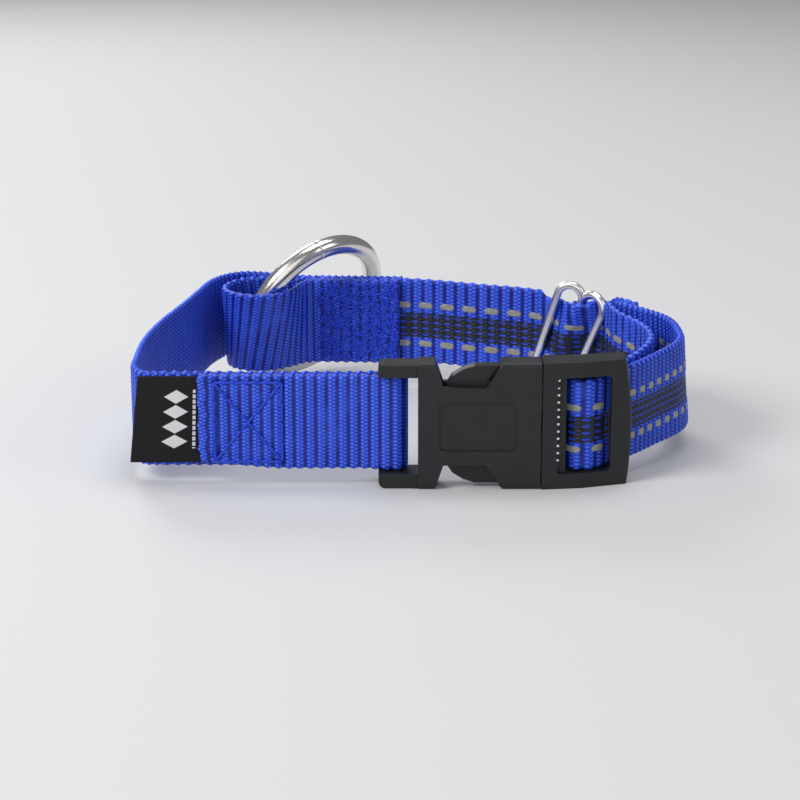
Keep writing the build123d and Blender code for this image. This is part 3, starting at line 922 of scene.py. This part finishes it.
neck_ends = {}
travelled = 0.0
for name, stretches in neck_stretches.items():
    neck_ends[name] = (travelled, travelled + lengths(join(stretches))[-1])
    travelled = neck_ends[name][1]
neck_length = travelled
neck_line = join([join(stretches) for stretches in neck_stretches.values()])

neck = {}
for name, (start, end) in neck_ends.items():
    distances, line = stretch_of(neck_line, start, end)
    middle, thick = neck_middle(name, line, web_columns)
    if name.startswith("outer_loop"):
        distances = start + (distances - start) * outer_tightness
    neck[name] = web_piece(
        name,
        middle,
        distances,
        web_columns,
        banded_web,
        "reflective_web",
        banded_face,
        banded_rib,
        thick,
        tail_press if name == "band_tail" else None,
    )
    neck[name].name = "web_" + name
    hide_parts(neck_stands_for[name])


for name in ("slide_run", "end_fold", "band_tail"):
    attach(neck[name], "slider")
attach(neck["male_bar_wrap"], "male_half")
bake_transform(neck["neck_band"])
for name, lead, apex in (
    ("inner_loop_back", behind_bars, inner_apex),
    ("outer_loop_back", fold_out, outer_apex),
):
    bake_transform(neck[name])
for name, apex, wrap in (
    ("inner_loop_front", inner_apex, inner_wrap_end),
    ("outer_loop_front", outer_apex, outer_wrap_start),
):
    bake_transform(neck[name])


def gathered(parts):
    """One list of points and one of faces from several shapes' own."""
    points, faces, used = [], [], 0
    for part_points, part_faces in parts:
        points.append(part_points)
        faces += [[corner + used for corner in face] for face in part_faces]
        used += len(part_points)
    return np.concatenate(points), faces


# ---- sewing threads ----
def thread_run(start, end, outward, radius=0.24, proud=0.16, dip=0.5):
    """One stitch: a twisted thread that comes up out of the web and goes down again."""
    stations, around = 12, 8
    t = np.linspace(0, 1, stations)
    lift = proud - (proud + dip) * np.abs(2 * t - 1) ** 6
    path = np.array(start) + t[:, None] * np.subtract(end, start) + lift[:, None] * outward
    heading = unit(np.gradient(path, axis=0))
    across = unit(np.cross(heading, outward))
    upward = np.cross(across, heading)
    angle = np.linspace(0, 2 * pi, around, endpoint=False)
    run = np.linalg.norm(np.subtract(end, start))
    lobes = radius * (1 + 0.14 * np.cos(2 * angle[None, :] + 2 * pi * t[:, None] * run / 1.1))
    sideways = np.cos(angle)[None, :, None] * across[:, None, :] * 1.15
    spoke = sideways + np.sin(angle)[None, :, None] * upward[:, None, :]
    points = path[:, None, :] + lobes[..., None] * spoke
    uv = np.stack(np.broadcast_arrays(t[:, None] * run, angle[None, :] * radius * 2), axis=-1)
    return points.reshape(-1, 3), ring_cells(stations, around), uv.reshape(-1, 2)


def threads(name, runs, outward, body, stands_for, **shape):
    """All the stitches of one seam as one piece."""
    parts = [thread_run(start, end, np.array(outward), **shape) for start, end in runs]
    made = mesh_object(name, *gathered([part[:2] for part in parts]), sewing_thread, "thread")
    set_uv(made, np.concatenate([part[2] for part in parts]))
    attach(made, body)
    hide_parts(stands_for)


def stitched(start, end, pitch, gap=0.3):
    """A seam from start to end as separate stitches."""
    start, end = np.array(start, float), np.array(end, float)
    count = max(1, round(np.linalg.norm(end - start) / pitch))
    step = (end - start) / count
    return [(start + (k + gap / 2) * step, start + (k + 1 - gap / 2) * step) for k in range(count)]


box_runs = []
for (x0, z0), (x1, z1) in box_seams:
    box_runs += stitched((x0, 0.0, z0), (x1, 0.0, z1), 3.9, 0.1)
threads("stitches_box", box_runs, (0.0, -1.0, 0.0), "band", "box_stitch", radius=0.22, proud=-0.1, dip=0.35)


def zigzag(origin, step, rise, width, count):
    """Zigzag strokes: count of them up a face, swinging by width along step's direction."""
    corners = [origin + k * rise + (k % 2) * width * step for k in range(count + 1)]
    return list(zip(corners[:-1], corners[1:]))


patch_dir = unit((1.0, patch_slope, 0.0))
patch_out = np.array((patch_dir[1], -patch_dir[0], 0.0))
sunk = 0.1  # a seam lies this far below its web's nominal face
patch_face = np.array((patch_left, patch_back(patch_left, 2), rear_mid)) + patch_out * (web_thick / 2 - sunk)
patch_stitches = 620
patch_edge = 0.5  # the stitches keep this far from the patch's ends
patch_reach = 8.9  # and go this far up and down from its middle
scatter = np.random.default_rng(7)
patch_runs = []
for number in range(patch_stitches):
    along = scatter.uniform(patch_edge, patch_right - patch_left - patch_edge)
    rise = scatter.uniform(-patch_reach, patch_reach)
    half_stitch = scatter.uniform(0.35, 0.75)
    turn = scatter.normal(0.0, 0.5) + (number % 2) * 1.1
    stroke = half_stitch * (sin(turn) * patch_dir + np.array((0.0, 0.0, cos(turn))))
    middle = patch_face + along * patch_dir + np.array((0.0, 0.0, rise))
    patch_runs.append((middle - stroke, middle + stroke))
threads("stitches_patch", patch_runs, patch_out, "band", "patch_stitch", radius=0.19, proud=0.04, dip=0.16)

tail_middle = np.array((*by_slide(run_end + 2.4, tail_out + web_thick / 2 - sunk), rear_mid))
slide_dir = np.array((*band_dir, 0.0))
tail_foot = tail_middle + np.array((0.0, 0.0, -8.0)) - slide_dir * 1.0
tail_runs = zigzag(tail_foot, slide_dir, np.array((0.0, 0.0, 0.5)), 2.0, 32)
threads("stitches_tail", tail_runs, np.array((*out_dir, 0.0)), "slider", "tail_stitch", radius=0.2)

# ---- woven label: a folded strip, its fold to the left and its ends under the folded web ----
label_height = 17.8
label_low = 4.2
label_slant = 2.0  # the fold stands out this much further at the bottom
label_ends = -34.0
label_fold = -53.0
label_thin = 0.2
label_gap = 0.13  # half the distance between its two layers
label_back = 1.92
label_columns = np.linspace(0, label_height, 61)
label_line = join(
    [
        straight((label_ends, label_back + label_gap), (label_fold, label_back + label_gap)),
        arc((label_fold, label_back), label_gap, 90, 270),
        straight((label_fold, label_back - label_gap), (label_ends, label_back - label_gap)),
    ]
)
label_along = lengths(label_line)


def label_piece():
    """The label's cloth, slanting out at its lower left corner."""
    distances, line = stretch_of(label_line, 0, label_along[-1], 0.2)
    middle = upright(line, label_columns, label_low)
    lean = ease(-line[:, 0], -label_ends, -label_fold)[:, None]
    lean = lean * (0.5 - label_columns / label_height)[None, :]
    middle[..., 0] -= label_slant * lean
    free = ease(-line[:, 0], -fold_end, -label_fold)[:, None]
    middle[..., 1] -= 0.35 * free * np.sin(label_columns / label_height * pi + 0.4)[None, :]
    normal = unit(np.cross(np.gradient(middle, axis=0), np.gradient(middle, axis=1)))
    sides = [middle + side * normal * label_thin / 2 for side in (1, -1)]
    points = np.concatenate([sides[0], sides[1][:, ::-1]], axis=1)
    s, v = np.meshgrid(distances, label_columns, indexing="ij")
    from_fold = np.abs(s - label_along[-1] / 2)
    place = np.stack([from_fold, v], axis=-1)
    uv = np.concatenate([place, place[:, ::-1]], axis=1)
    stations, around = points.shape[:2]
    faces = ring_cells(stations, around)
    made = mesh_object("woven_label", points.reshape(-1, 3), faces, woven_label, "label")
    set_uv(made, uv.reshape(-1, 2))
    return made


label = label_piece()
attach(label, "band")
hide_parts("label")

# ---- leash ring: bent wire whose two ends meet in a butt seam ----
ring_side = unit(np.cross((0.0, 0.0, 1.0), ring_axis) * -1)
ring_up = np.cross(unit(ring_axis), ring_side)
if ring_up[2] < 0:
    ring_up = -ring_up
seam_angle = radians(74.0)
seam_deep = 0.16
seam_half = 0.12


def ring_piece():
    """The ring's wire, with a narrow groove at the seam."""
    turns, around = 720, 48
    turn = seam_angle + np.linspace(0, 2 * pi, turns)
    off_end = np.minimum(turn - turn[0], turn[-1] - turn) * ring_radius
    radius = ring_wire - seam_deep * np.exp(-((off_end / seam_half) ** 2))
    outward = np.cos(turn)[:, None] * ring_side + np.sin(turn)[:, None] * ring_up
    angle = np.linspace(0, 2 * pi, around, endpoint=False)
    flat = np.cos(angle)[None, :, None] * outward[:, None, :]
    spoke = flat + np.sin(angle)[None, :, None] * unit(ring_axis)
    points = ring_middle + ring_radius * outward[:, None, :] + radius[:, None, None] * spoke
    faces = ring_cells(turns, around)
    return mesh_object("ring_wire", points.reshape(-1, 3), faces, ring_nickel, "ring_metal")


ring = ring_piece()
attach(ring, "ring")
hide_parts("o_ring")

# ---- the slide's second wire, which lies behind the tops of its loops ----
bar_half = 9.3
bar_rise = np.array((*(band_dir * sin(slide_lean)), cos(slide_lean)))
slide_out = np.array((*out_dir, 0.0))
slide_across = np.cross(bar_rise, slide_out)
if slide_across[0] < 0:
    slide_across = -slide_across
slide_origin = np.array((*by_slide(0, slide_set_back), slide_height))
loop_wide = {1: 6.15, -1: 5.55}  # width of the right and left loops at their tops
second_wire = 0.78  # wire radius
second_back = 1.1
second_lift = -0.35
cut_end_across = 1.25  # the wire's cut end stands this far right of the right loop


def on_slide(across, up, out=0.0):
    """Points of the slide's frame: across from the middle bar, up the bars and outward."""
    across, up = np.broadcast_arrays(np.asarray(across, float), np.asarray(up, float))
    return slide_origin + across[..., None] * slide_across + up[..., None] * bar_rise + out * slide_out


def tube(path, radius, around=20):
    """Points and faces of a round wire along a path, with rounded ends."""
    run = lengths(path)
    to_end = np.minimum(run, run[-1] - run)
    ball = radius * np.sqrt(1 - (1 - np.clip(to_end / radius, 0.02, 1)) ** 2)
    heading = unit(np.gradient(path, axis=0))
    across = unit(np.cross(heading, slide_out))
    outward = np.cross(across, heading)
    angle = np.linspace(0, 2 * pi, around, endpoint=False)[None, :, None]
    points = path[:, None, :] + ball[:, None, None] * (
        np.cos(angle) * across[:, None, :] + np.sin(angle) * outward[:, None, :]
    )
    return points.reshape(-1, 3), ring_cells(len(path), around)


def second_wire_piece():
    """Two arches behind the loops' tops, and the wire's cut end beside the right one."""
    paths = []
    for side, wide in loop_wide.items():
        turn = np.radians(np.linspace(180, 0, 70))
        rise = bar_half + second_lift + wide / 2 * np.sin(turn)
        paths.append(on_slide(side * wide / 2 * (1 + np.cos(turn)), rise, second_back - slide_set_back))
    end_up = np.linspace(bar_half - 0.6, bar_half + 1.5, 24)
    paths.append(on_slide(loop_wide[1] + cut_end_across, end_up, second_back - slide_set_back))
    wires = gathered([tube(path, second_wire) for path in paths])
    return mesh_object("slide_second_wire", *wires, slide_nickel, "slide_metal")


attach(second_wire_piece(), "slider")

# ---- CAD nodes that keep their shape ----
hard_nodes = {"slide": (slide_nickel, "slide_metal")}
for name in ("buckle_female", "buckle_male", "prong_upper", "prong_lower"):
    hard_nodes[name] = (moulded_plastic, "buckle_plastic")
plating = 0.08
moulded_round = 0.32
for name, (material, slot) in hard_nodes.items():
    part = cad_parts[name]
    if not part.material_slots:
        part.data.materials.append(material)
    for material_slot in part.material_slots:
        material_slot.material = material
    if name == "slide":
        plate = part.modifiers.new("plate", "DISPLACE")
        plate.strength = plating * MM
        plate.mid_level = 0.0
    if slot == "buckle_plastic":
        flatten = part.modifiers.new("flatten", "DECIMATE")
        flatten.decimate_type = "DISSOLVE"
        flatten.angle_limit = radians(1.0)
        soften = part.modifiers.new("soften", "BEVEL")
        soften.width = moulded_round * MM
        soften.segments = 3
        soften.limit_method = "ANGLE"
        soften.angle_limit = radians(35.0)
        soften.harden_normals = True


# ---- stage ----
def plain_material(name, colour, roughness):
    """A plain surface of the set."""
    return new_material(name, Base_Color=(*colour, 1), Roughness=roughness)[0]


floor_half = 3000.0
floor_mesh = bpy.data.meshes.new("floor")
floor_mesh.from_pydata(
    [(x * floor_half * MM, y * floor_half * MM, 0.0) for x, y in ((-1, -1), (1, -1), (1, 1), (-1, 1))],
    [],
    [(0, 1, 2, 3)],
)
floor_mesh.materials.append(plain_material("pale_floor", (0.62, 0.62, 0.62), 0.7))
floor = bpy.data.objects.new("floor", floor_mesh)
bpy.context.collection.objects.link(floor)


def softbox(name, place, size, watts):
    """A square area light aimed at the collar."""
    light = bpy.data.objects.new(name, bpy.data.lights.new(name, "AREA"))
    light.data.size = size
    light.data.energy = watts
    light.location = place
    light.rotation_euler = (Vector((0, 0, 0.015)) - Vector(place)).to_track_quat("-Z", "Y").to_euler()
    bpy.context.collection.objects.link(light)


softbox("key", (-0.62, -0.4, 0.62), 0.4, 5.6)
softbox("front", (0.0, -1.0, 0.45), 0.9, 2.4)
softbox("top", (0.1, 0.15, 0.9), 0.5, 3.4)
softbox("fill", (0.75, -0.3, 0.5), 0.4, 0.9)
softbox("rim", (-0.3, 0.7, 0.45), 0.3, 2.2)

world = bpy.data.worlds.new("studio")
world.use_nodes = True
sky = world.node_tree.nodes["Background"]
sky.inputs[0].default_value = (0.9, 0.93, 1.0, 1)
sky.inputs[1].default_value = 0.22
bpy.context.scene.world = world
bpy.context.scene.view_settings.view_transform = "Standard"
